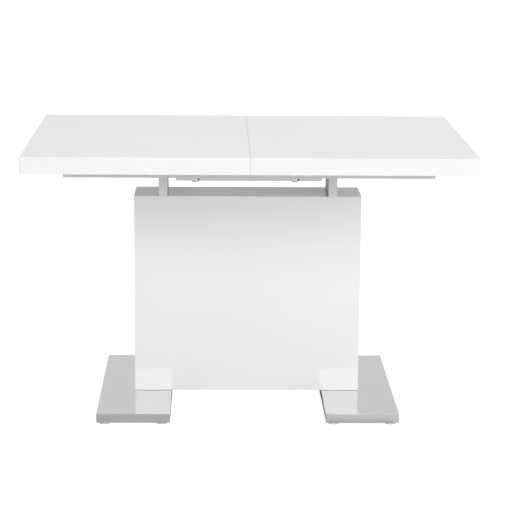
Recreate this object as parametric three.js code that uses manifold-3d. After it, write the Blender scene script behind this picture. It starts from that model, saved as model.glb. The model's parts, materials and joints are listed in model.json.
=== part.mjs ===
// Extendable dining table: two sliding top halves on runner rails, a folded leaf stored
// under the seam, and a gloss pedestal on two steel-covered base plates.
// Millimetres. +X along the table, -Y the front edge, +Z up. The origin is on the floor
// under the middle of the table.
import * as THREE from 'three';
import { mergeVertices } from 'three/addons/utils/BufferGeometryUtils.js';
import Module from 'manifold-3d';

const wasm = await Module();
wasm.setup();

// ---- Driving dimensions -------------------------------------------------------------
const TABLE_LENGTH = 1200;
const TABLE_DEPTH = 800;
const TABLE_HEIGHT = 755;
const RIM_HEIGHT = 45;
const RIM_WIDTH = 20;
const PANEL_THICKNESS = 18;
const SEAM_GAP = 0.5;
const CORNER_RADIUS = 4;

const GAP = 0.3; // between pieces that touch
const SIDES = 24; // facets round a bolt, pin or hole

const RUNNER_LENGTH = 988;
const RUNNER_WIDTH = 30;
const RUNNER_HEIGHT = 25.5;
const RUNNER_WALL = 3;
const RUNNER_FRONT_Y = 300;
const SLIDER_LENGTH = 380;
const SLIDER_OUTER_END = 480;
const SLIDE_TRAVEL = 200;
const SLOT_HEIGHT = 7;
const STOP_BOLT_X = 330;
const STOP_BOLT_RADIUS = 3;
const STOP_BOLT_HEAD = 4;

const BEAM_WIDTH = 40;
const BEAM_WALL = 2;
const POST_X = 236;
const POST_WIDTH = 25;
const POST_WALL = 2;
const POST_FOOT = 6;

const PEDESTAL_WIDTH = 634;
const PEDESTAL_DEPTH = 150;
const PEDESTAL_TOP = 594.5;
const PEDESTAL_PANEL = 18;
const RIB_X = 205;

const PLATE_INNER_X = 212.5;
const PLATE_WIDTH = 201;
const PLATE_DEPTH = 600;
const PLATE_THICKNESS = 25.5;
const COVER_THICKNESS = 1.5;
const GLIDE_HEIGHT = 8;
const GLIDE_RADIUS = 16;
const GLIDE_INSET = 22;
const GLIDE_STUD_LENGTH = 16;
const GLIDE_STUD_RADIUS = 4;

const BOLT_RADIUS = 4;
const BOLT_HEAD_RADIUS = 6.5;
const BOLT_HEAD_HEIGHT = 5;
const BASE_BOLT_X = 268;
const BASE_BOLT_Y = 38;
const POST_BOLT_Y = 45;

const LEAF_LENGTH = 397;
const LEAF_HALF_DEPTH = 400;
const LEAF_PIVOT_Y = -100;
const PIVOT_DROP = 21; // under the panels, which leaves the eye of the arm clear of them
const ARM_THICKNESS = 3;
const ARM_EYE_RADIUS = 10;
const ARM_FOOT_HALF_LENGTH = 60;
const PIVOT_RADIUS = 5;
const PIVOT_HEAD_RADIUS = 8;
const PIVOT_HEAD = 2.7;
const BEARING_THICKNESS = 8;
const BEARING_WIDTH = 30;
const STRAP_X = { left: -146, right: 124 };
const STRAP_WIDTH = 16;
const STRAP_THICKNESS = 2;
const STRAP_REACH = 36;
const BUMPER_WIDTH = 3;
const REST_BAR_Y = 60;
const REST_BAR_DEPTH = 20;
const REST_BAR_HEIGHT = 18;

const DOWEL_RADIUS = 4;
const DOWEL_LENGTH = 40;
const DOWEL_Y = 300;

// ---- Levels worked out from them ----------------------------------------------------
const HALF_LENGTH = TABLE_LENGTH / 2;
const HALF_DEPTH = TABLE_DEPTH / 2;
const PANEL_UNDERSIDE = TABLE_HEIGHT - PANEL_THICKNESS;
const RIM_BOTTOM = TABLE_HEIGHT - RIM_HEIGHT;
const FRAME_TOP = RIM_BOTTOM;
const FRAME_BOTTOM = FRAME_TOP - RUNNER_HEIGHT;
const STOP_BOLT_Z = FRAME_BOTTOM + RUNNER_HEIGHT / 2;
const RUNNER_Y = RUNNER_FRONT_Y - RUNNER_WIDTH / 2;
const RUNNER_INNER_Y = RUNNER_FRONT_Y - RUNNER_WIDTH;
const PLATE_TOP = GLIDE_HEIGHT + PLATE_THICKNESS;
const PLATE_X = PLATE_INNER_X + PLATE_WIDTH / 2;
const CORE_TOP = PLATE_TOP - COVER_THICKNESS - GAP;
const PEDESTAL_HEIGHT = PEDESTAL_TOP - PLATE_TOP;

// The folded leaf turns half a turn about its pivot and lands flush in the open top, so
// its fold line lies as far under the pivot as the table surface lies over it.
const LEAF_PIVOT_Z = PANEL_UNDERSIDE - PIVOT_DROP;
const LEAF_FOLD_Z = 2 * LEAF_PIVOT_Z - TABLE_HEIGHT;
const LEAF_TOP = LEAF_FOLD_Z + PANEL_THICKNESS;
const LEAF_BOTTOM = LEAF_FOLD_Z - PANEL_THICKNESS;
const LEAF_END_X = LEAF_LENGTH / 2;
const LEAF_FRONT_Y = -LEAF_HALF_DEPTH / 2;

// ---- Materials ----------------------------------------------------------------------
function material(color, roughness, metalness) {
  return () => new THREE.MeshStandardMaterial({ color, roughness, metalness });
}
const whiteLacquer = material(0xf0f0f0, 0.12, 0.0);
const satinSteel = material(0xc6c7c8, 0.35, 1.0);
const greyPaint = material(0xbdbdbe, 0.45, 0.3);
const boltSteel = material(0xa9abad, 0.3, 1.0);
const rawBoard = material(0xb59a74, 0.85, 0.0);
const palePlastic = material(0xd8d8d6, 0.5, 0.0);
const blackRubber = material(0x26231f, 0.8, 0.0);
const beech = material(0xc9a878, 0.6, 0.0);

// ---- Geometry helpers ---------------------------------------------------------------
function solidOf(geometry) {
  const bare = geometry.clone();
  bare.deleteAttribute('normal');
  bare.deleteAttribute('uv');
  const merged = mergeVertices(bare, 1e-4);
  const vertProperties = new Float32Array(merged.attributes.position.array);
  const triVerts = new Uint32Array(merged.index.array);
  return new wasm.Manifold(new wasm.Mesh({ numProp: 3, vertProperties, triVerts }));
}

function geometryOf(solid) {
  const mesh = solid.getMesh();
  const geometry = new THREE.BufferGeometry();
  geometry.setAttribute('position', new THREE.BufferAttribute(mesh.vertProperties, 3));
  geometry.setIndex(new THREE.BufferAttribute(mesh.triVerts, 1));
  geometry.computeVertexNormals();
  return geometry;
}

function cut(geometry, tools) {
  let solid = solidOf(geometry);
  for (const tool of tools) {
    solid = solid.subtract(solidOf(tool));
  }
  return geometryOf(solid);
}

// A box between two corners.
function boxBetween(low, high) {
  const size = high.map((value, axis) => value - low[axis]);
  const geometry = new THREE.BoxGeometry(...size);
  geometry.translate(...high.map((value, axis) => (value + low[axis]) / 2));
  return geometry;
}

// Turns a [radius, height] profile about +Z. The profile starts and ends on the axis.
function turned(profile, sides = SIDES) {
  const points = profile.map(([radius, height]) => new THREE.Vector2(radius, height));
  const geometry = new THREE.LatheGeometry(points, sides);
  geometry.rotateX(Math.PI / 2);
  return geometry;
}

// A round bar along +Z from one height to another, also used to drill holes.
function roundBar(radius, low, high) {
  return turned([[0, low], [radius, low], [radius, high], [0, high]]);
}

// A hexagon-drive bolt along +Z: its head's underside is at z = 0 and its shank rises.
function boltShape(shankLength) {
  return turned([
    [0, -BOLT_HEAD_HEIGHT],
    [BOLT_HEAD_RADIUS - 1, -BOLT_HEAD_HEIGHT],
    [BOLT_HEAD_RADIUS, -BOLT_HEAD_HEIGHT + 1],
    [BOLT_HEAD_RADIUS, 0],
    [BOLT_RADIUS, 0],
    [BOLT_RADIUS, shankLength - 1],
    [BOLT_RADIUS - 1, shankLength],
    [0, shankLength],
  ]);
}

// One panel of a mitred box. Its outer face is at local +Z and its four edges slope at 45
// degrees, trimmed back so that neighbouring panels keep the touching gap.
function mitredPanel(width, height) {
  const trim = GAP / Math.SQRT2;
  const geometry = new THREE.BoxGeometry(width - 2 * trim, height - 2 * trim, PEDESTAL_PANEL);
  const position = geometry.attributes.position;
  for (let i = 0; i < position.count; i += 1) {
    if (position.getZ(i) < 0) {
      position.setX(i, position.getX(i) - Math.sign(position.getX(i)) * PEDESTAL_PANEL);
      position.setY(i, position.getY(i) - Math.sign(position.getY(i)) * PEDESTAL_PANEL);
    }
  }
  return geometry;
}

function addMesh(parent, name, geometry, makeMaterial, place = [0, 0, 0], turn = [0, 0, 0]) {
  const mesh = new THREE.Mesh(geometry, makeMaterial());
  mesh.name = name;
  mesh.position.set(...place);
  mesh.rotation.set(...turn);
  parent.add(mesh);
  return mesh;
}

const BOTH_SIDES = [['left', -1], ['right', 1]];
const BOTH_ENDS = [['front', -1], ['back', 1]];

// ---- Base plates, cores and glides --------------------------------------------------
function baseCoverShape() {
  const outer = boxBetween(
    [-PLATE_WIDTH / 2, -PLATE_DEPTH / 2, GLIDE_HEIGHT],
    [PLATE_WIDTH / 2, PLATE_DEPTH / 2, PLATE_TOP],
  );
  const inside = boxBetween(
    [-PLATE_WIDTH / 2 + COVER_THICKNESS, -PLATE_DEPTH / 2 + COVER_THICKNESS, GLIDE_HEIGHT - 1],
    [PLATE_WIDTH / 2 - COVER_THICKNESS, PLATE_DEPTH / 2 - COVER_THICKNESS, CORE_TOP + GAP],
  );
  return { outer, inside };
}

// Where the two base bolts stand, measured from the middle of a plate.
function baseBoltPlaces(side) {
  return BOTH_ENDS.map(([, end]) => [side * (BASE_BOLT_X - PLATE_X), end * BASE_BOLT_Y]);
}

function glidePlaces() {
  const reachX = PLATE_WIDTH / 2 - GLIDE_INSET;
  const reachY = PLATE_DEPTH / 2 - GLIDE_INSET;
  const places = [];
  for (const [endName, end] of BOTH_ENDS) {
    for (const [edgeName, edge] of [['outer', 1], ['inner', -1]]) {
      places.push({ label: `${endName}_${edgeName}`, edge, x: reachX, y: end * reachY });
    }
  }
  return places;
}

function glideShape() {
  const top = GLIDE_HEIGHT - GAP;
  return turned([
    [0, 0],
    [GLIDE_RADIUS - 3, 0],
    [GLIDE_RADIUS - 0.8, 1.2],
    [GLIDE_RADIUS, 3.4],
    [GLIDE_RADIUS - 1.6, top],
    [GLIDE_STUD_RADIUS, top],
    [GLIDE_STUD_RADIUS, top + GLIDE_STUD_LENGTH],
    [0, top + GLIDE_STUD_LENGTH],
  ], 32);
}

function buildBasePlate(parent, sideName, side) {
  const group = new THREE.Group();
  group.position.set(side * PLATE_X, 0, 0);
  parent.add(group);

  const bolts = baseBoltPlaces(side);
  const clearance = BOLT_RADIUS + GAP;
  const boltHoles = bolts.map(([x, y]) => (
    roundBar(clearance, 0, PLATE_TOP + 5).translate(x, y, 0)
  ));
  const counterbores = bolts.map(([x, y]) => (
    roundBar(BOLT_HEAD_RADIUS + GAP, 0, GLIDE_HEIGHT + BOLT_HEAD_HEIGHT + 1).translate(x, y, 0)
  ));
  const glideHoles = glidePlaces().map(({ edge, x, y }) => (
    roundBar(GLIDE_STUD_RADIUS + GAP, 0, GLIDE_HEIGHT + GLIDE_STUD_LENGTH + GAP)
      .translate(edge * side * x, y, 0)
  ));

  const { outer, inside } = baseCoverShape();
  addMesh(group, `base_cover_${sideName}`, cut(outer, [inside, ...boltHoles]), satinSteel);

  const coreSlack = COVER_THICKNESS + GAP;
  const core = boxBetween(
    [-PLATE_WIDTH / 2 + coreSlack, -PLATE_DEPTH / 2 + coreSlack, GLIDE_HEIGHT],
    [PLATE_WIDTH / 2 - coreSlack, PLATE_DEPTH / 2 - coreSlack, CORE_TOP],
  );
  const coreHoles = [...boltHoles, ...counterbores, ...glideHoles];
  addMesh(group, `base_core_${sideName}`, cut(core, coreHoles), rawBoard);

  for (const { label, edge, x, y } of glidePlaces()) {
    addMesh(group, `glide_${sideName}_${label}`, glideShape(), palePlastic, [edge * side * x, y, 0]);
  }

  const seat = GLIDE_HEIGHT + BOLT_HEAD_HEIGHT + 1 - GAP;
  const reach = PLATE_TOP + PEDESTAL_PANEL + 4 - seat;
  BOTH_ENDS.forEach(([endName], index) => {
    const [x, y] = bolts[index];
    addMesh(group, `base_bolt_${sideName}_${endName}`, boltShape(reach), boltSteel, [x, y, seat]);
  });
}

// ---- Pedestal -----------------------------------------------------------------------
function buildPedestal(parent) {
  const quarter = Math.PI / 2;
  const inset = PEDESTAL_PANEL / 2;
  const midZ = PLATE_TOP + PEDESTAL_HEIGHT / 2 + GAP / 2;
  const height = PEDESTAL_HEIGHT - GAP;
  const faceY = PEDESTAL_DEPTH / 2 - inset;
  const faceX = PEDESTAL_WIDTH / 2 - inset;

  for (const [endName, end] of BOTH_ENDS) {
    addMesh(
      parent, `pedestal_${endName}`, mitredPanel(PEDESTAL_WIDTH, height), whiteLacquer,
      [0, end * faceY, midZ], [-end * quarter, 0, 0],
    );
  }
  for (const [sideName, side] of BOTH_SIDES) {
    addMesh(
      parent, `pedestal_side_${sideName}`, mitredPanel(height, PEDESTAL_DEPTH), whiteLacquer,
      [side * faceX, 0, midZ], [0, side * quarter, 0],
    );
  }

  const postBoltHoles = [];
  const baseBoltHoles = [];
  for (const [, side] of BOTH_SIDES) {
    for (const [, end] of BOTH_ENDS) {
      const hole = () => roundBar(BOLT_RADIUS + GAP, -PEDESTAL_PANEL, PEDESTAL_PANEL);
      postBoltHoles.push(hole().translate(side * POST_X, end * POST_BOLT_Y, 0));
      baseBoltHoles.push(hole().translate(side * BASE_BOLT_X, end * BASE_BOLT_Y, 0));
    }
  }
  const level = () => mitredPanel(PEDESTAL_WIDTH, PEDESTAL_DEPTH);
  addMesh(
    parent, 'pedestal_top', cut(level(), postBoltHoles), whiteLacquer,
    [0, 0, PEDESTAL_TOP - inset],
  );
  addMesh(
    parent, 'pedestal_bottom', cut(level(), baseBoltHoles), whiteLacquer,
    [0, 0, PLATE_TOP + GAP + inset], [Math.PI, 0, 0],
  );

  const innerHalfDepth = PEDESTAL_DEPTH / 2 - PEDESTAL_PANEL - GAP;
  const ribLow = PLATE_TOP + PEDESTAL_PANEL + 2 * GAP;
  const ribHigh = PEDESTAL_TOP - PEDESTAL_PANEL - GAP;
  for (const [sideName, side] of BOTH_SIDES) {
    const rib = boxBetween(
      [-PEDESTAL_PANEL / 2, -innerHalfDepth, ribLow],
      [PEDESTAL_PANEL / 2, innerHalfDepth, ribHigh],
    );
    addMesh(parent, `pedestal_rib_${sideName}`, rib, rawBoard, [side * RIB_X, 0, 0]);
  }
}

// ---- Posts and the under-frame ------------------------------------------------------
function postShape() {
  const low = PEDESTAL_TOP + GAP;
  const high = FRAME_BOTTOM - GAP;
  const outer = boxBetween(
    [-POST_WIDTH / 2, -PEDESTAL_DEPTH / 2, low],
    [POST_WIDTH / 2, PEDESTAL_DEPTH / 2, high],
  );
  const inside = boxBetween(
    [-POST_WIDTH / 2 + POST_WALL, -PEDESTAL_DEPTH / 2 + POST_WALL, low + POST_FOOT],
    [POST_WIDTH / 2 - POST_WALL, PEDESTAL_DEPTH / 2 - POST_WALL, high + 1],
  );
  const holes = BOTH_ENDS.map(([, end]) => (
    roundBar(BOLT_RADIUS + GAP, low - 1, high).translate(0, end * POST_BOLT_Y, 0)
  ));
  return cut(outer, [inside, ...holes]);
}

function crossBeamShape() {
  const halfLength = RUNNER_INNER_Y - GAP;
  const outer = boxBetween(
    [-BEAM_WIDTH / 2, -halfLength, FRAME_BOTTOM],
    [BEAM_WIDTH / 2, halfLength, FRAME_TOP],
  );
  const inside = boxBetween(
    [-BEAM_WIDTH / 2 + BEAM_WALL, -halfLength - 1, FRAME_BOTTOM + BEAM_WALL],
    [BEAM_WIDTH / 2 - BEAM_WALL, halfLength + 1, FRAME_TOP - BEAM_WALL],
  );
  return cut(outer, [inside]);
}

// A channel open at the top, with a hole in its inner wall for each stop bolt.
function runnerShape(end) {
  const outer = boxBetween(
    [-RUNNER_LENGTH / 2, -RUNNER_WIDTH / 2, FRAME_BOTTOM],
    [RUNNER_LENGTH / 2, RUNNER_WIDTH / 2, FRAME_TOP],
  );
  const inside = boxBetween(
    [-RUNNER_LENGTH / 2 - 1, -RUNNER_WIDTH / 2 + RUNNER_WALL, FRAME_BOTTOM + RUNNER_WALL],
    [RUNNER_LENGTH / 2 + 1, RUNNER_WIDTH / 2 - RUNNER_WALL, FRAME_TOP + 1],
  );
  const holes = BOTH_SIDES.map(([, side]) => (
    stopBoltHole(end).translate(side * STOP_BOLT_X, 0, 0)
  ));
  return cut(outer, [inside, ...holes]);
}

// Runs along Y through the runner's inner wall, on the side towards the table's middle.
function stopBoltHole(end) {
  const hole = roundBar(STOP_BOLT_RADIUS + GAP, 0, RUNNER_WIDTH / 2 + 1);
  hole.rotateX(end * Math.PI / 2);
  hole.translate(0, 0, STOP_BOLT_Z);
  return hole;
}

function stopBoltShape() {
  const headRadius = STOP_BOLT_RADIUS + 2;
  const shank = RUNNER_WIDTH - RUNNER_WALL - STOP_BOLT_HEAD;
  return turned([
    [0, -STOP_BOLT_HEAD],
    [headRadius, -STOP_BOLT_HEAD],
    [headRadius, 0],
    [STOP_BOLT_RADIUS, 0],
    [STOP_BOLT_RADIUS, shank],
    [0, shank],
  ]);
}

function buildUnderFrame(parent) {
  for (const [sideName, side] of BOTH_SIDES) {
    addMesh(parent, `post_${sideName}`, postShape(), greyPaint, [side * POST_X, 0, 0]);
    addMesh(parent, `cross_beam_${sideName}`, crossBeamShape(), greyPaint, [side * POST_X, 0, 0]);
    const underHead = PEDESTAL_TOP - PEDESTAL_PANEL - GAP;
    const shank = PEDESTAL_PANEL + POST_FOOT + 8;
    for (const [endName, end] of BOTH_ENDS) {
      const place = [side * POST_X, end * POST_BOLT_Y, underHead];
      addMesh(parent, `post_bolt_${sideName}_${endName}`, boltShape(shank), boltSteel, place);
    }
  }
  for (const [endName, end] of BOTH_ENDS) {
    addMesh(parent, `runner_${endName}`, runnerShape(end), greyPaint, [0, end * RUNNER_Y, 0]);
    for (const [sideName, side] of BOTH_SIDES) {
      const place = [side * STOP_BOLT_X, end * (RUNNER_INNER_Y - GAP), STOP_BOLT_Z];
      const turn = [-end * Math.PI / 2, 0, 0];
      addMesh(parent, `stop_bolt_${endName}_${sideName}`, stopBoltShape(), boltSteel, place, turn);
    }
  }
  const restHalf = POST_X - POST_WIDTH / 2 - GAP;
  const restBar = boxBetween(
    [-restHalf, -REST_BAR_DEPTH / 2, LEAF_BOTTOM - GAP - REST_BAR_HEIGHT],
    [restHalf, REST_BAR_DEPTH / 2, LEAF_BOTTOM - GAP],
  );
  addMesh(parent, 'leaf_rest_bar', restBar, greyPaint, [0, REST_BAR_Y, 0]);
}

// ---- Sliding top halves -------------------------------------------------------------
// The outline of one half, rounded at its two outer corners. The seam is at local x = 0.
function halfOutline() {
  const outline = new THREE.Shape();
  const far = HALF_LENGTH - SEAM_GAP / 2;
  const arc = (x, y, start) => {
    outline.absarc(x, y, CORNER_RADIUS, start, start + Math.PI / 2, false);
  };
  outline.moveTo(0, -HALF_DEPTH);
  outline.lineTo(far - CORNER_RADIUS, -HALF_DEPTH);
  arc(far - CORNER_RADIUS, -HALF_DEPTH + CORNER_RADIUS, -Math.PI / 2);
  arc(far - CORNER_RADIUS, HALF_DEPTH - CORNER_RADIUS, 0);
  outline.lineTo(0, HALF_DEPTH);
  outline.closePath();
  return outline;
}

function dowelHoles(side) {
  return BOTH_ENDS.map(([, end]) => {
    const hole = roundBar(DOWEL_RADIUS + GAP, -1, DOWEL_LENGTH / 2 + GAP);
    hole.rotateY(side * Math.PI / 2);
    hole.translate(0, end * DOWEL_Y, TABLE_HEIGHT - PANEL_THICKNESS / 2);
    return hole;
  });
}

function topHalfShape(side) {
  const slab = new THREE.ExtrudeGeometry(halfOutline(), {
    depth: RIM_HEIGHT, bevelEnabled: false, curveSegments: 6,
  });
  slab.translate(0, 0, RIM_BOTTOM);
  if (side < 0) {
    slab.rotateZ(Math.PI);
  }
  const recessFar = HALF_LENGTH - SEAM_GAP / 2 - RIM_WIDTH;
  const recess = boxBetween(
    [-1, -HALF_DEPTH + RIM_WIDTH, RIM_BOTTOM - 1],
    [recessFar, HALF_DEPTH - RIM_WIDTH, PANEL_UNDERSIDE],
  );
  if (side < 0) {
    recess.rotateZ(Math.PI);
  }
  return cut(slab, [recess, ...dowelHoles(side)]);
}

// A bar that runs in the runner's channel and is screwed to the panel above it. The stop
// bolt runs in its slot, which is as long as the travel.
function sliderShape(side) {
  const halfWidth = RUNNER_WIDTH / 2 - RUNNER_WALL - GAP;
  const inner = SLIDER_OUTER_END - SLIDER_LENGTH;
  const low = FRAME_BOTTOM + RUNNER_WALL + GAP;
  const bar = boxBetween(
    [inner, -halfWidth, low],
    [SLIDER_OUTER_END, halfWidth, PANEL_UNDERSIDE - GAP],
  );
  const slotClear = STOP_BOLT_RADIUS + 1;
  const slot = boxBetween(
    [STOP_BOLT_X - SLIDE_TRAVEL - slotClear, -halfWidth - 1, STOP_BOLT_Z - SLOT_HEIGHT / 2],
    [STOP_BOLT_X + slotClear, halfWidth + 1, STOP_BOLT_Z + SLOT_HEIGHT / 2],
  );
  const shape = cut(bar, [slot]);
  if (side < 0) {
    shape.rotateZ(Math.PI);
  }
  return shape;
}

function buildTopHalf(parent, sideName, side) {
  const group = new THREE.Group();
  parent.add(group);
  const seam = [side * SEAM_GAP / 2, 0, 0];
  addMesh(group, `tabletop_${sideName}`, topHalfShape(side), whiteLacquer, seam);
  for (const [endName, end] of BOTH_ENDS) {
    const place = [0, end * RUNNER_Y, 0];
    addMesh(group, `slider_${sideName}_${endName}`, sliderShape(side), beech, place);
  }
  return group;
}

// The two dowels belong to the left half and enter the right one.
function buildSeamDowels(leftHalf) {
  const rim = DOWEL_LENGTH / 2;
  for (const [endName, end] of BOTH_ENDS) {
    const dowel = turned([
      [0, -rim],
      [DOWEL_RADIUS - 1, -rim],
      [DOWEL_RADIUS, -rim + 1],
      [DOWEL_RADIUS, rim - 1],
      [DOWEL_RADIUS - 1, rim],
      [0, rim],
    ]);
    const place = [0, end * DOWEL_Y, TABLE_HEIGHT - PANEL_THICKNESS / 2];
    addMesh(leftHalf, `seam_dowel_${endName}`, dowel, beech, place, [0, Math.PI / 2, 0]);
  }
}

// ---- Stored leaf and its swing gear -------------------------------------------------
// The arm in side view: a foot along the upper panel's end, drawn in to a round eye.
function armShape() {
  const foot = LEAF_FOLD_Z + 3;
  const shoulder = LEAF_TOP - 2;
  const outline = new THREE.Shape();
  outline.moveTo(-ARM_FOOT_HALF_LENGTH, foot);
  outline.lineTo(ARM_FOOT_HALF_LENGTH, foot);
  outline.lineTo(ARM_FOOT_HALF_LENGTH, shoulder);
  outline.lineTo(ARM_EYE_RADIUS, LEAF_PIVOT_Z);
  outline.absarc(0, LEAF_PIVOT_Z, ARM_EYE_RADIUS, 0, Math.PI, false);
  outline.lineTo(-ARM_FOOT_HALF_LENGTH, shoulder);
  outline.closePath();
  const plate = new THREE.ExtrudeGeometry(outline, {
    depth: ARM_THICKNESS, bevelEnabled: false, curveSegments: 12,
  });
  const eye = roundBar(PIVOT_RADIUS + GAP, -1, ARM_THICKNESS + 1).translate(0, LEAF_PIVOT_Z, 0);
  const arm = cut(plate, [eye]);
  arm.rotateX(Math.PI / 2);
  arm.rotateZ(Math.PI / 2);
  return arm;
}

// The pivot pin along +Z: its head is inside the arm, its shank runs in the bearing.
function pivotShape() {
  const shank = GAP + ARM_THICKNESS + BEARING_THICKNESS + 2 * GAP;
  return turned([
    [0, -PIVOT_HEAD],
    [PIVOT_HEAD_RADIUS, -PIVOT_HEAD],
    [PIVOT_HEAD_RADIUS, 0],
    [PIVOT_RADIUS, 0],
    [PIVOT_RADIUS, shank],
    [0, shank],
  ]);
}

function buildLeafBearings(parent) {
  const beamFace = POST_X - BEAM_WIDTH / 2;
  for (const [sideName, side] of BOTH_SIDES) {
    const block = boxBetween(
      [-BEARING_THICKNESS / 2, -BEARING_WIDTH / 2, FRAME_BOTTOM],
      [BEARING_THICKNESS / 2, BEARING_WIDTH / 2, LEAF_PIVOT_Z + BEARING_WIDTH / 3],
    );
    const bore = roundBar(PIVOT_RADIUS + GAP, -BEARING_THICKNESS, BEARING_THICKNESS);
    bore.rotateY(Math.PI / 2);
    bore.translate(0, 0, LEAF_PIVOT_Z);
    const x = side * (beamFace - GAP - BEARING_THICKNESS / 2);
    addMesh(parent, `leaf_bearing_${sideName}`, cut(block, [bore]), greyPaint, [x, LEAF_PIVOT_Y, 0]);
  }
}

// A bent steel strap round the fold edge, drawn in side view and pressed out along X.
function strapShape() {
  const face = LEAF_FRONT_Y - GAP;
  const under = LEAF_BOTTOM - GAP;
  const outline = new THREE.Shape();
  outline.moveTo(face - STRAP_THICKNESS, under - STRAP_THICKNESS);
  outline.lineTo(face + STRAP_REACH, under - STRAP_THICKNESS);
  outline.lineTo(face + STRAP_REACH, under);
  outline.lineTo(face, under);
  outline.lineTo(face, LEAF_TOP - 3);
  outline.lineTo(face - STRAP_THICKNESS, LEAF_TOP - 3);
  outline.closePath();
  const strap = new THREE.ExtrudeGeometry(outline, { depth: STRAP_WIDTH, bevelEnabled: false });
  strap.rotateX(Math.PI / 2);
  strap.rotateZ(Math.PI / 2);
  return strap;
}

function buildLeaf(parent) {
  const back = LEAF_FRONT_Y + LEAF_HALF_DEPTH;
  const levels = [
    ['upper', LEAF_FOLD_Z + GAP / 2, LEAF_TOP],
    ['lower', LEAF_BOTTOM, LEAF_FOLD_Z - GAP / 2],
  ];
  for (const [levelName, low, high] of levels) {
    const panel = boxBetween([-LEAF_END_X, LEAF_FRONT_Y, low], [LEAF_END_X, back, high]);
    addMesh(parent, `leaf_${levelName}`, panel, whiteLacquer);
  }
  for (const [sideName, side] of BOTH_SIDES) {
    const armX = side > 0 ? LEAF_END_X + GAP : -LEAF_END_X - GAP - ARM_THICKNESS;
    addMesh(parent, `leaf_arm_${sideName}`, armShape(), satinSteel, [armX, LEAF_PIVOT_Y, 0]);
    const pivotPlace = [side * LEAF_END_X, LEAF_PIVOT_Y, LEAF_PIVOT_Z];
    const pivotTurn = [0, side * Math.PI / 2, 0];
    addMesh(parent, `leaf_pivot_${sideName}`, pivotShape(), boltSteel, pivotPlace, pivotTurn);
    const strapX = STRAP_X[sideName] - STRAP_WIDTH / 2;
    addMesh(parent, `leaf_hinge_${sideName}`, strapShape(), satinSteel, [strapX, 0, 0]);
    const bumperX = strapX + STRAP_WIDTH + GAP;
    const bumper = boxBetween(
      [bumperX, LEAF_FRONT_Y - GAP - STRAP_THICKNESS, LEAF_BOTTOM + 1],
      [bumperX + BUMPER_WIDTH, LEAF_FRONT_Y - GAP, LEAF_TOP - 3],
    );
    addMesh(parent, `leaf_bumper_${sideName}`, bumper, blackRubber);
  }
}

// ---- Assembly -----------------------------------------------------------------------
const group = new THREE.Group();
for (const [sideName, side] of BOTH_SIDES) {
  buildBasePlate(group, sideName, side);
}
buildPedestal(group);
buildUnderFrame(group);
buildLeafBearings(group);
const leftHalf = buildTopHalf(group, 'left', -1);
buildTopHalf(group, 'right', 1);
buildSeamDowels(leftHalf);
buildLeaf(group);

export default group;
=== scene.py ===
"""Extendable dining table: the finished surfaces, materials, light and camera, built
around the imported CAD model. Metres, +X along the table, -Y its front edge, +Z up."""
import json
import math

import bmesh
import bpy
from mathutils import Matrix, Vector


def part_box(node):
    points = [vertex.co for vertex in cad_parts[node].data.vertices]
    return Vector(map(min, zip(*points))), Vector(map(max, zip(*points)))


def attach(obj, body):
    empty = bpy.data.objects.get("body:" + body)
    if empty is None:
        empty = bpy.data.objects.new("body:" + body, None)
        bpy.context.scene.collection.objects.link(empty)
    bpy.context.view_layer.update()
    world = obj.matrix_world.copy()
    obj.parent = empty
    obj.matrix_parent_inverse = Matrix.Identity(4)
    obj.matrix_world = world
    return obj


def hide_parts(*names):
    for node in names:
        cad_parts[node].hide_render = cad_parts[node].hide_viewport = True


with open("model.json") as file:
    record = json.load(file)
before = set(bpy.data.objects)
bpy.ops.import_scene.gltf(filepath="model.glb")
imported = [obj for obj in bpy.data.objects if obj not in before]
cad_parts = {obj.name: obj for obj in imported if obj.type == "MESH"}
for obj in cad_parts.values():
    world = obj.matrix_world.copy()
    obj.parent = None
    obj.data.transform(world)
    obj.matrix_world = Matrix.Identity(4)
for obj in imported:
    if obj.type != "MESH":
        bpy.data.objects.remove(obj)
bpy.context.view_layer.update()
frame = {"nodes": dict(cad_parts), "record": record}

MM = 0.001
SIDES = ("left", "right")
ENDS = ("front", "back")
EDGE_WEAR = "edge_wear"

# ---- Camera and studio --------------------------------------------------------------
CAMERA_PLACE = Vector((-0.0944, -5.0594, 1.5217))
CAMERA_YAW = 0.0245
CAMERA_DOWN = 0.2174
CAMERA_ROLL = 0.0084
CAMERA_LENS_MM = 127.48
SENSOR_MM = 36.0

WORLD_FILL = 0.14
WORLD_MIRRORED = 0.7
FLOOR_SHADE = 0.65
FLOOR_GLOW = 0.92
FLOOR_REACH = 20.0
OVERHEAD_POWER = 50
FRONT_LOW_POWER = 220
FRONT_HIGH_POWER = 172
LEFT_POWER = 112
RIGHT_POWER = 214
BACK_POWER = 380


def add_camera():
    """Stands in front of the table, a little left of its middle, looking slightly down."""
    forward = Vector((
        math.sin(CAMERA_YAW) * math.cos(CAMERA_DOWN),
        math.cos(CAMERA_YAW) * math.cos(CAMERA_DOWN),
        -math.sin(CAMERA_DOWN),
    ))
    right = Vector((math.cos(CAMERA_YAW), -math.sin(CAMERA_YAW), 0))
    up = right.cross(forward)
    rolled_right = right * math.cos(CAMERA_ROLL) + up * math.sin(CAMERA_ROLL)
    rolled_up = up * math.cos(CAMERA_ROLL) - right * math.sin(CAMERA_ROLL)
    data = bpy.data.cameras.new("camera")
    data.sensor_width = SENSOR_MM
    data.lens = CAMERA_LENS_MM
    camera = bpy.data.objects.new("camera", data)
    turn = Matrix((rolled_right, rolled_up, -forward)).transposed().to_4x4()
    camera.matrix_world = Matrix.Translation(CAMERA_PLACE) @ turn
    bpy.context.scene.collection.objects.link(camera)
    bpy.context.scene.camera = camera


add_camera()


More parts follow.
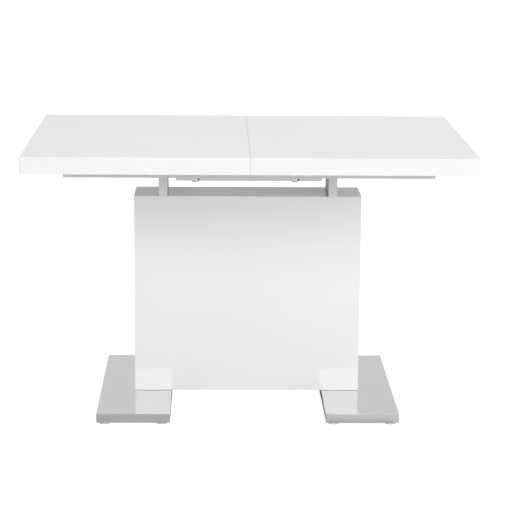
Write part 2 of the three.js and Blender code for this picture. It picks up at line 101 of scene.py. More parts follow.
def add_area_light(name, place, target, size, power, mirrored):
    """A soft box. One that isn't mirrored lights the table without showing in its gloss."""
    data = bpy.data.lights.new(name, "AREA")
    data.shape = "RECTANGLE"
    data.size, data.size_y = size
    data.energy = power
    light = bpy.data.objects.new(name, data)
    light.location = place
    aim = Vector(target) - Vector(place)
    light.rotation_euler = aim.to_track_quat("-Z", "Y").to_euler()
    light.visible_glossy = mirrored
    bpy.context.scene.collection.objects.link(light)


def mix_shaders(tree, share, first, second):
    mix = tree.nodes.new("ShaderNodeMixShader")
    tree.links.new(share, mix.inputs[0])
    tree.links.new(first, mix.inputs[1])
    tree.links.new(second, mix.inputs[2])
    return mix.outputs[0]


def add_world():
    """A white backdrop that the gloss surfaces mirror as pale grey, and a dim fill."""
    world = bpy.data.worlds.new("studio")
    bpy.context.scene.world = world
    world.use_nodes = True
    tree = world.node_tree
    tree.nodes.clear()

    def background(strength):
        node = tree.nodes.new("ShaderNodeBackground")
        node.inputs["Color"].default_value = (1, 1, 1, 1)
        node.inputs["Strength"].default_value = strength
        return node.outputs[0]

    path = tree.nodes.new("ShaderNodeLightPath")
    unseen = mix_shaders(
        tree, path.outputs["Is Glossy Ray"], background(WORLD_FILL), background(WORLD_MIRRORED),
    )
    whole = mix_shaders(tree, path.outputs["Is Camera Ray"], unseen, background(1.0))
    out = tree.nodes.new("ShaderNodeOutputWorld")
    tree.links.new(whole, out.inputs["Surface"])


def make_floor_material():
    """Pale floor. Seen directly it is nearly burnt out to white, as on a light table, and
    from underneath it isn't there, so that the table's underside can be looked at."""
    material = bpy.data.materials.new("studio_floor")
    material.use_nodes = True
    tree = material.node_tree
    tree.nodes.clear()
    coordinates = tree.nodes.new("ShaderNodeTexCoord")
    cloud = tree.nodes.new("ShaderNodeTexNoise")
    cloud.inputs["Scale"].default_value = 1.5
    tree.links.new(coordinates.outputs["Object"], cloud.inputs["Vector"])
    tint = tree.nodes.new("ShaderNodeMapRange")
    tint.inputs["To Min"].default_value = FLOOR_SHADE - 0.01
    tint.inputs["To Max"].default_value = FLOOR_SHADE + 0.01
    tree.links.new(cloud.outputs["Fac"], tint.inputs["Value"])
    matt = tree.nodes.new("ShaderNodeBsdfDiffuse")
    tree.links.new(tint.outputs["Result"], matt.inputs["Color"])
    glow = tree.nodes.new("ShaderNodeEmission")
    glow.inputs["Strength"].default_value = FLOOR_GLOW
    both = tree.nodes.new("ShaderNodeAddShader")
    tree.links.new(matt.outputs[0], both.inputs[0])
    tree.links.new(glow.outputs[0], both.inputs[1])
    path = tree.nodes.new("ShaderNodeLightPath")
    whole = mix_shaders(tree, path.outputs["Is Camera Ray"], matt.outputs[0], both.outputs[0])
    sides = tree.nodes.new("ShaderNodeNewGeometry")
    clear = tree.nodes.new("ShaderNodeBsdfTransparent")
    shown = mix_shaders(tree, sides.outputs["Backfacing"], whole, clear.outputs[0])
    out = tree.nodes.new("ShaderNodeOutputMaterial")
    tree.links.new(shown, out.inputs["Surface"])
    return material


def add_floor(material):
    reach = FLOOR_REACH
    mesh = bpy.data.meshes.new("floor")
    corners = [(-reach, -reach, 0), (reach, -reach, 0), (reach, reach, 0), (-reach, reach, 0)]
    mesh.from_pydata(corners, [], [(0, 1, 2, 3)])
    mesh.materials.append(material)
    floor = bpy.data.objects.new("floor", mesh)
    bpy.context.scene.collection.objects.link(floor)


bpy.context.scene.view_settings.view_transform = "Standard"
bpy.context.scene.view_settings.look = "None"
add_world()
# Each soft box: name, place, target, width and height, power in watts, and whether the
# gloss surfaces mirror it.
LIGHTS = (
    ("overhead", (0, -0.2, 3.6), (0, 0, 0.7), (4.0, 3.0), OVERHEAD_POWER, True),
    ("front_low", (0.4, -8.5, 2.0), (0, 0, 0.5), (9.0, 3.9), FRONT_LOW_POWER, True),
    ("front_high", (-0.4, -6.5, 5.4), (0, 0, 0.4), (6.0, 3.0), FRONT_HIGH_POWER, False),
    ("left_side", (-6.5, -4.5, 3.4), (0, 0, 0.5), (4.0, 4.0), LEFT_POWER, False),
    ("right_side", (5.9, -4.4, 2.2), (0, 0, 0.5), (4.0, 4.0), RIGHT_POWER, False),
    ("back_high", (2.4, 6.5, 4.0), (0, 0, 0.5), (2.6, 2.4), BACK_POWER, False),
)
for soft_box in LIGHTS:
    add_area_light(*soft_box)

# ---- Material helpers ---------------------------------------------------------------


def new_material(name):
    material = bpy.data.materials.new(name)
    material.use_nodes = True
    tree = material.node_tree
    shader = tree.nodes["Principled BSDF"]
    return material, tree, shader


def place_coordinates(tree, scale=(1, 1, 1)):
    """Object coordinates, stretched by scale, so the pattern has a real size."""
    coordinates = tree.nodes.new("ShaderNodeTexCoord")
    mapping = tree.nodes.new("ShaderNodeMapping")
    mapping.inputs["Scale"].default_value = scale
    tree.links.new(coordinates.outputs["Object"], mapping.inputs["Vector"])
    return mapping.outputs["Vector"]


def noise(tree, vector, scale, detail=2.0, roughness=0.5):
    node = tree.nodes.new("ShaderNodeTexNoise")
    node.inputs["Scale"].default_value = scale
    node.inputs["Detail"].default_value = detail
    node.inputs["Roughness"].default_value = roughness
    tree.links.new(vector, node.inputs["Vector"])
    return node.outputs["Fac"]


def ramp(tree, value, low, high, start=0.3, end=0.7):
    """Turns a noise value into a colour between low and high."""
    node = tree.nodes.new("ShaderNodeValToRGB")
    node.color_ramp.elements[0].position = start
    node.color_ramp.elements[0].color = (*low, 1)
    node.color_ramp.elements[1].position = end
    node.color_ramp.elements[1].color = (*high, 1)
    tree.links.new(value, node.inputs["Fac"])
    return node.outputs["Color"]


def spread(tree, value, low, high):
    """Maps a noise value to the range low to high."""
    node = tree.nodes.new("ShaderNodeMapRange")
    node.inputs["From Min"].default_value = 0.3
    node.inputs["From Max"].default_value = 0.7
    node.inputs["To Min"].default_value = low
    node.inputs["To Max"].default_value = high
    tree.links.new(value, node.inputs["Value"])
    return node.outputs["Result"]


def bump(tree, height, strength, distance):
    node = tree.nodes.new("ShaderNodeBump")
    node.inputs["Strength"].default_value = strength
    node.inputs["Distance"].default_value = distance
    tree.links.new(height, node.inputs["Height"])
    return node.outputs["Normal"]


def grey(value, warmth=0.0):
    return (value + warmth, value, value - warmth)


def edge_wear(tree, vector, scale, start, end):
    """Patchy wear: 1 where a rounded edge is rubbed through, 0 on the flat faces."""
    edges = tree.nodes.new("ShaderNodeAttribute")
    edges.attribute_name = EDGE_WEAR
    patches = tree.nodes.new("ShaderNodeMapRange")
    patches.inputs["From Min"].default_value = start
    patches.inputs["From Max"].default_value = end
    tree.links.new(noise(tree, vector, scale, detail=6.0, roughness=0.6), patches.inputs["Value"])
    both = tree.nodes.new("ShaderNodeMath")
    both.operation = "MULTIPLY"
    tree.links.new(edges.outputs["Fac"], both.inputs[0])
    tree.links.new(patches.outputs["Result"], both.inputs[1])
    return both.outputs[0]


def worn_colour(tree, wear, whole, rubbed):
    """The whole surface's colour, turning to the rubbed one where the edge is worn."""
    mix = tree.nodes.new("ShaderNodeMix")
    mix.data_type = "RGBA"
    tree.links.new(wear, mix.inputs["Factor"])
    tree.links.new(whole, mix.inputs["A"])
    mix.inputs["B"].default_value = (*rubbed, 1)
    return mix.outputs["Result"]


def worn_value(tree, wear, whole, rubbed):
    """The same for a roughness."""
    mix = tree.nodes.new("ShaderNodeMix")
    tree.links.new(wear, mix.inputs["Factor"])
    tree.links.new(whole, mix.inputs["A"])
    mix.inputs["B"].default_value = rubbed
    return mix.outputs["Result"]


# ---- Materials ----------------------------------------------------------------------


def make_white_lacquer(name, low, high, smoothest=0.05, dullest=0.09):
    """White lacquer with a trace of orange peel, dulled along its edges. It is polished to
    a high gloss unless it is given a rougher range."""
    material, tree, shader = new_material(name)
    place = place_coordinates(tree)
    wear = edge_wear(tree, place, scale=38.0, start=0.56, end=0.74)
    broad = ramp(tree, noise(tree, place, scale=2.2, detail=3.0), low, high)
    scuffed = (low[0] * 0.86, low[1] * 0.85, low[2] * 0.82)
    tree.links.new(worn_colour(tree, wear, broad, scuffed), shader.inputs["Base Color"])
    smears = noise(tree, place, scale=14.0, detail=5.0, roughness=0.6)
    dulled = spread(tree, smears, smoothest, dullest)
    tree.links.new(worn_value(tree, wear, dulled, 0.35), shader.inputs["Roughness"])
    peel = noise(tree, place, scale=420.0, detail=2.0)
    tree.links.new(bump(tree, peel, strength=0.04, distance=0.0002), shader.inputs["Normal"])
    return material


def make_satin_steel():
    """Polished stainless sheet with hairlines along the table's depth and faint smears."""
    material, tree, shader = new_material("satin_steel")
    even = place_coordinates(tree)
    wear = edge_wear(tree, even, scale=60.0, start=0.45, end=0.65)
    drawn_out = place_coordinates(tree, (1.0, 0.008, 1.0))
    hairs = noise(tree, drawn_out, scale=1100.0, detail=4.0, roughness=0.7)
    brushed = ramp(tree, hairs, grey(0.755), grey(0.835))
    tree.links.new(worn_colour(tree, wear, brushed, grey(0.88)), shader.inputs["Base Color"])
    smears = noise(tree, even, scale=9.0, detail=6.0, roughness=0.65)
    polish = spread(tree, smears, 0.06, 0.13)
    tree.links.new(worn_value(tree, wear, polish, 0.2), shader.inputs["Roughness"])
    tree.links.new(bump(tree, hairs, strength=0.06, distance=0.0001), shader.inputs["Normal"])
    shader.inputs["Metallic"].default_value = 1.0
    return material


def make_grey_paint():
    """Light grey powder coat with its fine pebbled skin, rubbed darker on its corners."""
    material, tree, shader = new_material("grey_paint")
    place = place_coordinates(tree)
    wear = edge_wear(tree, place, scale=70.0, start=0.54, end=0.66)
    cloud = noise(tree, place, scale=9.0, detail=3.0)
    paint = ramp(tree, cloud, grey(0.655), grey(0.695))
    tree.links.new(worn_colour(tree, wear, paint, grey(0.50)), shader.inputs["Base Color"])
    pebble = noise(tree, place, scale=1500.0, detail=2.0)
    skin = spread(tree, pebble, 0.36, 0.5)
    tree.links.new(worn_value(tree, wear, skin, 0.28), shader.inputs["Roughness"])
    tree.links.new(bump(tree, pebble, strength=0.25, distance=0.0001), shader.inputs["Normal"])
    shader.inputs["Metallic"].default_value = 0.1
    return material


def make_bolt_steel():
    """Zinc-plated steel, faintly mottled, with fine bright marks along its rubbed edges."""
    material, tree, shader = new_material("bolt_steel")
    place = place_coordinates(tree)
    mottle = noise(tree, place, scale=260.0, detail=4.0)
    plated = ramp(tree, mottle, grey(0.36, 0.01), grey(0.50, 0.015))
    marks = edge_wear(tree, place, scale=900.0, start=0.50, end=0.58)
    tree.links.new(worn_colour(tree, marks, plated, grey(0.62)), shader.inputs["Base Color"])
    tree.links.new(spread(tree, mottle, 0.22, 0.4), shader.inputs["Roughness"])
    tree.links.new(bump(tree, mottle, strength=0.1, distance=0.0001), shader.inputs["Normal"])
    shader.inputs["Metallic"].default_value = 1.0
    return material


def make_raw_board():
    """Uncoated fibreboard: pressed fibres, darker flecks, and a soft broad mottle."""
    material, tree, shader = new_material("raw_board")
    place = place_coordinates(tree)
    fibre = noise(tree, place, scale=700.0, detail=6.0, roughness=0.7)
    pressed = ramp(tree, fibre, (0.36, 0.25, 0.15), (0.56, 0.42, 0.27))
    specks = noise(tree, place, scale=160.0, detail=5.0, roughness=0.75)
    flecks = spread(tree, specks, -0.6, 0.8)
    dark = (0.24, 0.16, 0.09)
    tree.links.new(worn_colour(tree, flecks, pressed, dark), shader.inputs["Base Color"])
    tree.links.new(spread(tree, fibre, 0.78, 0.92), shader.inputs["Roughness"])
    tree.links.new(bump(tree, fibre, strength=0.35, distance=0.0003), shader.inputs["Normal"])
    return material


def make_pale_plastic():
    """Moulded polyamide, slightly waxy, with patches of floor dirt on its rim."""
    material, tree, shader = new_material("pale_plastic")
    place = place_coordinates(tree)
    wear = edge_wear(tree, place, scale=150.0, start=0.45, end=0.6)
    cloud = noise(tree, place, scale=90.0, detail=3.0)
    clean = ramp(tree, cloud, grey(0.88, 0.01), grey(0.94, 0.01))
    soiled = grey(0.66, 0.012)
    tree.links.new(worn_colour(tree, wear, clean, soiled), shader.inputs["Base Color"])
    spark = noise(tree, place, scale=1800.0, detail=2.0)
    tree.links.new(spread(tree, spark, 0.36, 0.48), shader.inputs["Roughness"])
    tree.links.new(bump(tree, spark, strength=0.2, distance=0.0001), shader.inputs["Normal"])
    return material


def make_black_rubber():
    """Black rubber, bloomed grey where it is rubbed."""
    material, tree, shader = new_material("black_rubber")
    place = place_coordinates(tree)
    grain = noise(tree, place, scale=900.0, detail=4.0)
    wear = edge_wear(tree, place, scale=240.0, start=0.5, end=0.64)
    whole = ramp(tree, grain, grey(0.018, 0.003), grey(0.04, 0.004))
    tree.links.new(worn_colour(tree, wear, whole, grey(0.11)), shader.inputs["Base Color"])
    tree.links.new(spread(tree, grain, 0.65, 0.82), shader.inputs["Roughness"])
    tree.links.new(bump(tree, grain, strength=0.4, distance=0.0002), shader.inputs["Normal"])
    return material


def make_beech():
    """Waxed beech: grain along the bar, short dark flecks, and edges greyed by sliding."""
    material, tree, shader = new_material("beech")
    along_grain = place_coordinates(tree, (0.05, 1.0, 1.0))
    grain = noise(tree, along_grain, scale=320.0, detail=6.0, roughness=0.6)
    figure = ramp(tree, grain, (0.50, 0.33, 0.18), (0.68, 0.50, 0.31))
    along_flecks = place_coordinates(tree, (0.12, 1.0, 1.0))
    streaks = noise(tree, along_flecks, scale=1500.0, detail=2.0)
    flecks = spread(tree, streaks, -1.6, 1.0)
    flecked = worn_colour(tree, flecks, figure, (0.36, 0.21, 0.11))
    wear = edge_wear(tree, along_grain, scale=400.0, start=0.5, end=0.62)
    tree.links.new(
        worn_colour(tree, wear, flecked, (0.40, 0.31, 0.22)), shader.inputs["Base Color"],
    )
    tree.links.new(spread(tree, grain, 0.4, 0.6), shader.inputs["Roughness"])
    tree.links.new(bump(tree, grain, strength=0.2, distance=0.0002), shader.inputs["Normal"])
    return material


MATERIALS = {
    "white_lacquer": make_white_lacquer("white_lacquer", grey(0.80), grey(0.82)),
    "satin_steel": make_satin_steel(),
    "grey_paint": make_grey_paint(),
    "bolt_steel": make_bolt_steel(),
    "raw_board": make_raw_board(),
    "pale_plastic": make_pale_plastic(),
    "black_rubber": make_black_rubber(),
    "beech": make_beech(),
}
UNDERSIDE_WHITE = make_white_lacquer(
    "underside_foil", grey(0.66), grey(0.70), smoothest=0.25, dullest=0.35,
)
# Dark grey lacquer on the halves' mating edges: painted shade for the inside of the seam.
SEAM_PAINTED_SHADE = make_white_lacquer(
    "seam_painted_shade", grey(0.24), grey(0.28), smoothest=0.35, dullest=0.45,
)
# Rougher satin lacquer for the pedestal's top, its white painted a little darker as painted shade
# under the table top.
SATIN_SHADED_WHITE = make_white_lacquer(
    "satin_lacquer_painted_shade", grey(0.77), grey(0.79), smoothest=0.15, dullest=0.20,
)
SLOT_OF = {row["node"]: row["material_slot"] for row in frame["record"]["subparts"]}
BODY_OF = {
    node: body
    for body, nodes in frame["record"]["behaviour"]["bodies"].items()
    for node in nodes
}
add_floor(make_floor_material())

for node, cad_object in frame["nodes"].items():
    cad_object.data.materials.clear()
    cad_object.data.materials.append(MATERIALS[SLOT_OF[node]])

# ---- Mesh helpers -------------------------------------------------------------------
WELD_DISTANCE = 1e-5
FLAT_ANGLE = math.radians(0.5)
SHARP_ANGLE = math.radians(40)
CREASE_ANGLE = math.radians(30)
SQUARE_ON = 0.9
ROUND = 36


def cleaned_copy(node):
    """The CAD solid with its flat faces whole again, ready to have its edges rounded."""
    bm = bmesh.new()
    bm.from_mesh(frame["nodes"][node].data)
    bmesh.ops.remove_doubles(bm, verts=bm.verts, dist=WELD_DISTANCE)
    bmesh.ops.dissolve_limit(bm, angle_limit=FLAT_ANGLE, verts=bm.verts, edges=bm.edges)
    bm.loops.layers.float.new(EDGE_WEAR)
    return bm


def middle(edge):
    return (edge.verts[0].co + edge.verts[1].co) / 2


def round_edges(bm, width, segments, pick=lambda edge: True):
    """Rounds the creases that pick accepts and marks the new faces as worn edges."""
    creases = [
        edge for edge in bm.edges
        if len(edge.link_faces) == 2
        and edge.calc_face_angle(0) > CREASE_ANGLE
        and pick(edge)
    ]
    made = bmesh.ops.bevel(
        bm, geom=creases, offset=width, offset_type="OFFSET", segments=segments,
        profile=0.5, affect="EDGES", clamp_overlap=True,
    )
    wear = bm.loops.layers.float[EDGE_WEAR]
    for face in made["faces"]:
        for loop in face.loops:
            loop[wear] = 1.0


def finish_piece(bm, name, body, materials, stands_for=()):
    """Turns the mesh into a smooth-shaded piece that rides on a body."""
    bmesh.ops.recalc_face_normals(bm, faces=bm.faces)
    mesh = bpy.data.meshes.new(name)
    bm.to_mesh(mesh)
    bm.free()
    for polygon in mesh.polygons:
        polygon.use_smooth = True
    mesh.set_sharp_from_angle(angle=SHARP_ANGLE)
    for material in materials:
        mesh.materials.append(material)
    piece = bpy.data.objects.new(name, mesh)
    bpy.context.scene.collection.objects.link(piece)
    normals = piece.modifiers.new("even_normals", "WEIGHTED_NORMAL")
    normals.keep_sharp = True
    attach(piece, body)
    if stands_for:
        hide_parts(*stands_for)


def finish_node(bm, node, name, extra_materials=()):
    slot = SLOT_OF[node]
    materials = [MATERIALS[slot], *extra_materials]
    finish_piece(bm, name, BODY_OF[node], materials, [node])


def finish_extra(bm, name, body, slot):
    """Finishes a piece that stands for no CAD node."""
    finish_piece(bm, name, body, [MATERIALS[slot]])


def circle(radius):
    return [radius] * ROUND


def hexagon(apothem):
    """A hexagon's distance from its middle at each of the ring's angles."""
    sector = math.pi / 3
    radii = []
    for step in range(ROUND):
        angle = 2 * math.pi * step / ROUND
        off_middle = (angle + sector / 2) % sector - sector / 2
        radii.append(apothem / math.cos(off_middle))
    return radii


def is_chamfer(first, second):
    """Whether the band between two rings slopes at very roughly 45 degrees."""
    (first_radii, first_height), (second_radii, second_height) = first, second
    if first_radii is None or second_radii is None:
        return False
    inward = abs(first_radii[0] - second_radii[0])
    along_axis = abs(first_height - second_height)
    return 0.5 * along_axis < inward < 2 * along_axis


def add_turned(bm, rings, to_place, material_of_ring=None):
    """Joins (radii, height) rings about local +Z into a closed solid, with its chamfers
    marked as worn. None is a tip."""
    wear = bm.loops.layers.float[EDGE_WEAR]
    rows = []
    for radii, height in rings:
        if radii is None:
            rows.append([bm.verts.new(to_place @ Vector((0, 0, height)))])
            continue
        row = []
        for step, radius in enumerate(radii):
            angle = 2 * math.pi * step / len(radii)
            local = Vector((radius * math.cos(angle), radius * math.sin(angle), height))
            row.append(bm.verts.new(to_place @ local))
        rows.append(row)
    for index, (first, second) in enumerate(zip(rows, rows[1:])):
        worn = float(is_chamfer(rings[index], rings[index + 1]))
        for step in range(ROUND):
            after = (step + 1) % ROUND
            corners = []
            corners += [first[0]] if len(first) == 1 else [first[step], first[after]]
            corners += [second[0]] if len(second) == 1 else [second[after], second[step]]
            face = bm.faces.new(corners)
            for loop in face.loops:
                loop[wear] = worn
            if material_of_ring:
                face.material_index = material_of_ring(index)


def facing(place, direction):
    """A placing whose local +Z points along direction."""
    turn = Vector(direction).to_track_quat("Z", "Y").to_matrix().to_4x4()
    return Matrix.Translation(place) @ turn


def new_bmesh():
    bm = bmesh.new()
    bm.loops.layers.float.new(EDGE_WEAR)
    return bm


# ---- Table top ----------------------------------------------------------------------
ARRIS = 1.2 * MM
SEAM_ARRIS = 0.8 * MM
TOUCH = 0.2 * MM
OUTLINE_NEAR = 5 * MM


def build_tabletop(side):
    """One half: a broad round on its outer edges, a fine one at the seam, a pale foil on
    its underside and dark grey painted shade on the edge that meets the other half."""
    node = f"tabletop_{side}"
    low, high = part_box(node)
    seam_x = high.x if side == "left" else low.x
    bm = cleaned_copy(node)

    def on_outline(edge):
        place = middle(edge)
        level = abs(place.z - high.z) < TOUCH or abs(place.z - low.z) < TOUCH
        flat = abs(edge.verts[0].co.z - edge.verts[1].co.z) < TOUCH
        near_side = min(place.y - low.y, high.y - place.y) < OUTLINE_NEAR
        near_end = abs(place.x - seam_x) > (high.x - low.x) - OUTLINE_NEAR
        return level and flat and (near_side or near_end)

    def not_on_seam(edge):
        return any(abs(vert.co.x - seam_x) > TOUCH for vert in edge.verts)

    round_edges(bm, ARRIS, 5, lambda edge: on_outline(edge) and not_on_seam(edge))

    def top_of_seam(edge):
        place = middle(edge)
        return abs(place.x - seam_x) < TOUCH and abs(place.z - high.z) < TOUCH

    round_edges(bm, SEAM_ARRIS, 2, top_of_seam)
    # Underside faces get the pale foil; the mating edge gets the seam's dark grey painted shade.
    for face in bm.faces:
        centre = face.calc_center_median()
        if face.normal.z < -SQUARE_ON and centre.z > low.z + OUTLINE_NEAR:
            face.material_index = 1
        elif abs(face.normal.x) > SQUARE_ON and abs(centre.x - seam_x) < TOUCH:
            face.material_index = 2
    finish_node(bm, node, f"lacquered_top_{side}", [UNDERSIDE_WHITE, SEAM_PAINTED_SHADE])


STRIP_THICKNESS = 0.3 * MM
STRIP_DEPTH = 14.0 * MM
STRIP_GAP = 0.05 * MM
STRIP_BELOW_TOP = 1.5 * MM
STRIP_SET_BACK = 3 * MM
STRIP_TO_DOWEL = 1 * MM


def build_seam_strip():
    """A rubber strip on the right half's mating edge, so that no light falls through the
    seam; its black is also painted shade for the inside of the seam. It is set back from the
    visible faces and leaves the dowels free."""
    low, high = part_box("tabletop_right")
    right = low.x - STRIP_GAP
    top = high.z - STRIP_BELOW_TOP
    stops = [low.y + STRIP_SET_BACK]
    for end in ENDS:
        dowel_low, dowel_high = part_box(f"seam_dowel_{end}")
        stops += [dowel_low.y - STRIP_TO_DOWEL, dowel_high.y + STRIP_TO_DOWEL]
    stops.append(high.y - STRIP_SET_BACK)
    bm = new_bmesh()
    for near, far in zip(stops[::2], stops[1::2]):
        size = Vector((STRIP_THICKNESS, far - near, STRIP_DEPTH))
        centre = Vector((right - size.x / 2, (near + far) / 2, top - size.z / 2))
        bmesh.ops.create_cube(bm, size=1.0, matrix=Matrix.LocRotScale(centre, None, size))
    finish_extra(bm, "seam_strip", "right_half", "black_rubber")


# ---- Pedestal -----------------------------------------------------------------------
PEDESTAL_ARRIS = 0.5 * MM
PEDESTAL_NEAR = 0.5 * MM


def build_pedestal_panel(node):
    """A mitred panel whose outer edges are just eased, so the mitres read as hairlines. The
    top one, in the table's shade, is lacquered satin and not polished, and its white is
    painted a little darker there as painted shade."""
    front_low, front_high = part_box("pedestal_front")
    back_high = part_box("pedestal_back")[1]
    low = Vector((front_low.x, front_low.y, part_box("pedestal_bottom")[0].z))
    high = Vector((front_high.x, back_high.y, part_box("pedestal_top")[1].z))
    bm = cleaned_copy(node)

    def on_outside(edge):
        place = middle(edge)
        near = [
            min(place[axis] - low[axis], high[axis] - place[axis]) < PEDESTAL_NEAR
            for axis in range(3)
        ]
        return sum(near) >= 2

    round_edges(bm, PEDESTAL_ARRIS, 3, on_outside)
    # The pedestal's upward top faces get the darker satin white: painted shade under the table
    # top.
    for face in bm.faces:
        if node == "pedestal_top" and face.normal.z > SQUARE_ON:
            face.material_index = 1
    finish_node(bm, node, f"{node}_lacquered", [SATIN_SHADED_WHITE])


# ---- Base plates and glides ---------------------------------------------------------
COVER_ROUND = 0.45 * MM
COVER_GAP = 0.3 * MM
SHANK_RADIUS = 3.9 * MM
SHANK_CHAMFER = 0.8 * MM


def build_base_cover(side):
    """Folded steel sheet over the board: rounded top edge and corners."""
    node = f"base_cover_{side}"
    low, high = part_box(node)
    bm = cleaned_copy(node)

    def outside(edge):
        place = middle(edge)
        near_x = min(place.x - low.x, high.x - place.x) < TOUCH
        near_y = min(place.y - low.y, high.y - place.y) < TOUCH
        near_top = high.z - place.z < TOUCH
        return near_x + near_y + near_top >= 2

    round_edges(bm, COVER_ROUND, 4, outside)
    finish_node(bm, node, f"steel_cover_{side}")


def build_base_core(side):
    """The board inside the cover, faced with grey foil underneath."""
    node = f"base_core_{side}"
    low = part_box(node)[0]
    bm = cleaned_copy(node)
    for face in bm.faces:
        if face.normal.z < -SQUARE_ON and face.calc_center_median().z < low.z + TOUCH:
            face.material_index = 1
    finish_node(bm, node, f"base_board_{side}", [UNDERSIDE_WHITE])


def build_glide(node):
    """A pale moulded foot, stepped where its sole meets its cup, on a plated stud."""
    low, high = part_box(node)
    centre = (low + high) / 2
    radius = (high.x - low.x) / 2
    cup_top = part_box("base_cover_left")[0].z - COVER_GAP
    sole = [
        (None, 0), (circle(radius - 5.0 * MM), 0), (circle(radius - 3.2 * MM), 0.2 * MM),
        (circle(radius - 1.7 * MM), 0.9 * MM), (circle(radius - 0.9 * MM), 2.0 * MM),
        (circle(radius - 0.7 * MM), 3.3 * MM),
    ]
    cup = [
        (circle(radius - 0.1 * MM), 3.4 * MM), (circle(radius), 3.9 * MM),
        (circle(radius - 0.3 * MM), 5.2 * MM), (circle(radius - 1.4 * MM), 6.6 * MM),
        (circle(radius - 3.2 * MM), cup_top),
    ]
    shank = [
        (circle(SHANK_RADIUS), cup_top), (circle(SHANK_RADIUS), high.z - SHANK_CHAMFER),
        (circle(SHANK_RADIUS - SHANK_CHAMFER), high.z), (None, high.z),
    ]
    foot = sole + cup
    bm = new_bmesh()
    place = Matrix.Translation((centre.x, centre.y, low.z))
    add_turned(bm, foot + shank, place, lambda ring: 0 if ring < len(foot) else 1)
    finish_node(bm, node, f"{node}_turned", [MATERIALS["bolt_steel"]])


# ---- Fasteners ----------------------------------------------------------------------
BOLT_CHAMFER = 0.6 * MM
SCREW_SUNK = 0.2 * MM


def build_bolt(node, axis, head_radius, shank_radius, head_height, socket):
    """A socket-head bolt along a signed axis, from its head to its tip."""
    low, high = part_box(node)
    centre = (low + high) / 2
    direction = Vector(axis)
    length = abs((high - low).dot(direction))
    start = centre - direction * length / 2
    socket_floor = head_height * 0.6
    rings = [
        (None, socket_floor), (hexagon(socket), socket_floor), (hexagon(socket), 0),
        (circle(head_radius - BOLT_CHAMFER), 0), (circle(head_radius), BOLT_CHAMFER),
        (circle(head_radius), head_height), (circle(shank_radius), head_height),
        (circle(shank_radius), length - BOLT_CHAMFER),
        (circle(shank_radius - BOLT_CHAMFER), length), (None, length),
    ]
    bm = new_bmesh()
    add_turned(bm, rings, facing(start, direction))
    finish_node(bm, node, f"{node}_turned")


def add_screw(bm, place, outward, radius=3.6 * MM, height=1.4 * MM):
    """A low domed screw head with a hexagon socket, sunk slightly into its surface."""
    socket = radius * 0.42
    rings = [
        (None, -SCREW_SUNK), (circle(radius), -SCREW_SUNK), (circle(radius), height * 0.35),
        (circle(radius * 0.9), height * 0.75), (circle(radius * 0.62), height),
        (hexagon(socket), height), (hexagon(socket), height * 0.3), (None, height * 0.3),
    ]
    add_turned(bm, rings, facing(place, outward))


# ---- Welds --------------------------------------------------------------------------
BEAD_RADIUS = 1.7 * MM
BEAD_SIDES = 10
BEAD_OUTSET = 0.4 * MM
BEAD_SUNK = 0.6 * MM
BEAD_FROM_TOP = 2 * MM
BEAD_FROM_BOTTOM = 1 * MM
RIPPLE_PITCH = 2.4 * MM
RIPPLE_DEPTH = 0.09
RIPPLE_STEPS = 3


def add_bead(bm, start, end):
    """A rippled weld bead, straight from start to end, closed at both ends."""
    start, end = Vector(start), Vector(end)
    run = end - start
    count = max(4, int(run.length / RIPPLE_PITCH) * RIPPLE_STEPS)
    turn = run.to_track_quat("Z", "Y").to_matrix()
    rows = []
    for index in range(count + 1):
        share = index / count
        ripple = 1 + RIPPLE_DEPTH * math.sin(2 * math.pi * index / RIPPLE_STEPS)
        taper = min(1.0, 0.35 + 6 * min(share, 1 - share))
        radius = BEAD_RADIUS * ripple * taper
        row = []
        for side in range(BEAD_SIDES):
            angle = 2 * math.pi * side / BEAD_SIDES
            local = Vector((radius * math.cos(angle), radius * math.sin(angle), 0))
            row.append(bm.verts.new(start + run * share + turn @ local))
        rows.append(row)
    for first, second in zip(rows, rows[1:]):
        for side in range(BEAD_SIDES):
            after = (side + 1) % BEAD_SIDES
            bm.faces.new((first[side], first[after], second[after], second[side]))
    bm.faces.new(list(reversed(rows[0])))
    bm.faces.new(rows[-1])


def add_bead_path(bm, points):
    for start, end in zip(points, points[1:]):
        add_bead(bm, start, end)


# ---- Steel frame --------------------------------------------------------------------
POST_ROUND = 1.6 * MM
BEAM_ROUND = 1.2 * MM
BEARING_ROUND = 0.5 * MM
RUNNER_ROUND = 0.6 * MM
REST_BAR_ROUND = 1.5 * MM


def build_rounded(node, name, width, segments=3, pick=lambda edge: True):
    bm = cleaned_copy(node)
    round_edges(bm, width, segments, pick)
    finish_node(bm, node, name)


def upright(edge):
    """An edge that runs vertically."""
    direction = edge.verts[1].co - edge.verts[0].co
    return abs(direction.normalized().z) > SQUARE_ON


def along(axis):
    """A picker of the edges that run along an axis."""
    def runs(edge):
        direction = edge.verts[1].co - edge.verts[0].co
        return abs(direction.normalized()[axis]) > SQUARE_ON
    return runs


def build_painted(node, width, segments, pick):
    build_rounded(node, f"{node}_painted", width, segments, pick)


def build_posts():
    for side in SIDES:
        build_painted(f"post_{side}", POST_ROUND, 4, upright)


def build_beams_and_runners():
    for side in SIDES:
        build_painted(f"cross_beam_{side}", BEAM_ROUND, 3, along(1))
        build_painted(f"leaf_bearing_{side}", BEARING_ROUND, 2, along(0))
    for end in ENDS:
        build_painted(f"runner_{end}", RUNNER_ROUND, 3, along(0))
    build_painted("leaf_rest_bar", REST_BAR_ROUND, 3, along(0))


